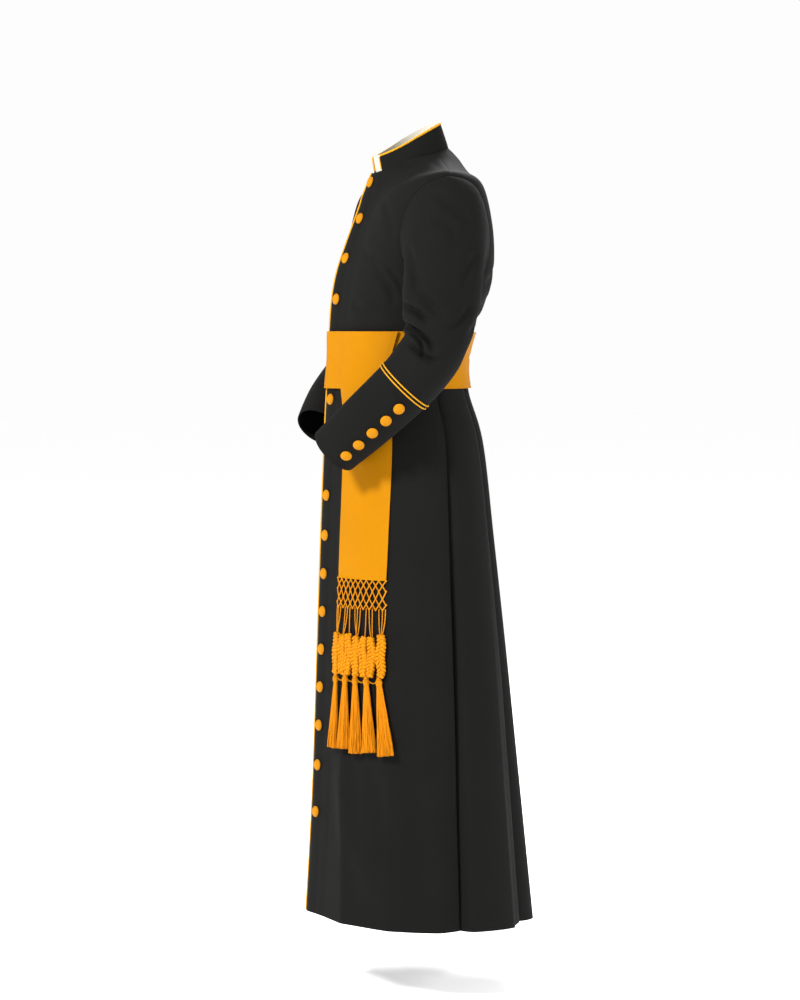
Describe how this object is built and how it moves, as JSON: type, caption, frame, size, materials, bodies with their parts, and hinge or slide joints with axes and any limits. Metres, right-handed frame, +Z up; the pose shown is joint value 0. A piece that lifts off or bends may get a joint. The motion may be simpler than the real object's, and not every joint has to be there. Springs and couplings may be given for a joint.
{
  "type": "cassock",
  "caption": "Full-length clergy cassock with buttoned front, stand collar, two-piece sleeves with deep cuffs, pleated skirt and a fringed waist cincture, held in its worn form.",
  "frame": {"origin": "on the shoulder line at the middle of the neck opening, where the wearer's neck and shoulders hold the cassock", "axes": "+Z up to the neck opening, -Y the way the front faces, +X to the wearer's left"},
  "size_m": [0.5547, 0.44, 1.4837],
  "materials": {
    "black_worsted": "fine matte black worsted suiting with a faint twill",
    "white_collar": "smooth off-white stiffened linen",
    "gold_faille": "golden yellow ribbed faille with a soft lustre",
    "gold_piping": "golden yellow twisted piping cord and braid",
    "fringe_cord": "golden yellow twisted rayon cord",
    "covered_buttons": "buttons covered in the golden yellow faille"
  },
  "bodies": {
    "root": {"back_left": "black_worsted", "back_right": "black_worsted", "button_cuff_left_1": "covered_buttons", "button_cuff_left_2": "covered_buttons", "button_cuff_left_3": "covered_buttons", "button_cuff_left_4": "covered_buttons", "button_cuff_left_5": "covered_buttons", "button_cuff_right_1": "covered_buttons", "button_cuff_right_2": "covered_buttons", "button_cuff_right_3": "covered_buttons", "button_cuff_right_4": "covered_buttons", "button_cuff_right_5": "covered_buttons", "button_front_1": "covered_buttons", "button_front_10": "covered_buttons", "button_front_11": "covered_buttons", "button_front_12": "covered_buttons", "button_front_13": "covered_buttons", "button_front_14": "covered_buttons", "button_front_15": "covered_buttons", "button_front_2": "covered_buttons", "button_front_3": "covered_buttons", "button_front_4": "covered_buttons", "button_front_5": "covered_buttons", "button_front_6": "covered_buttons", "button_front_7": "covered_buttons", "button_front_8": "covered_buttons", "button_front_9": "covered_buttons", "cincture_band": "gold_faille", "cincture_fall": "gold_faille", "collar": "black_worsted", "collar_insert": "white_collar", "collar_piping": "gold_piping", "cuff_braid_left": "gold_piping", "cuff_braid_right": "gold_piping", "cuff_left": "black_worsted", "cuff_right": "black_worsted", "fringe_cords": "fringe_cord", "fringe_net": "fringe_cord", "front_left": "black_worsted", "front_piping": "gold_piping", "front_right": "black_worsted", "skirt_back_left": "black_worsted", "skirt_back_right": "black_worsted", "skirt_side_left": "black_worsted", "skirt_side_right": "black_worsted", "sleeve_top_left": "black_worsted", "sleeve_top_right": "black_worsted", "sleeve_under_left": "black_worsted", "sleeve_under_right": "black_worsted", "tassel_1": "fringe_cord", "tassel_2": "fringe_cord", "tassel_3": "fringe_cord", "tassel_4": "fringe_cord", "tassel_5": "fringe_cord"}
  },
  "joints": []
}
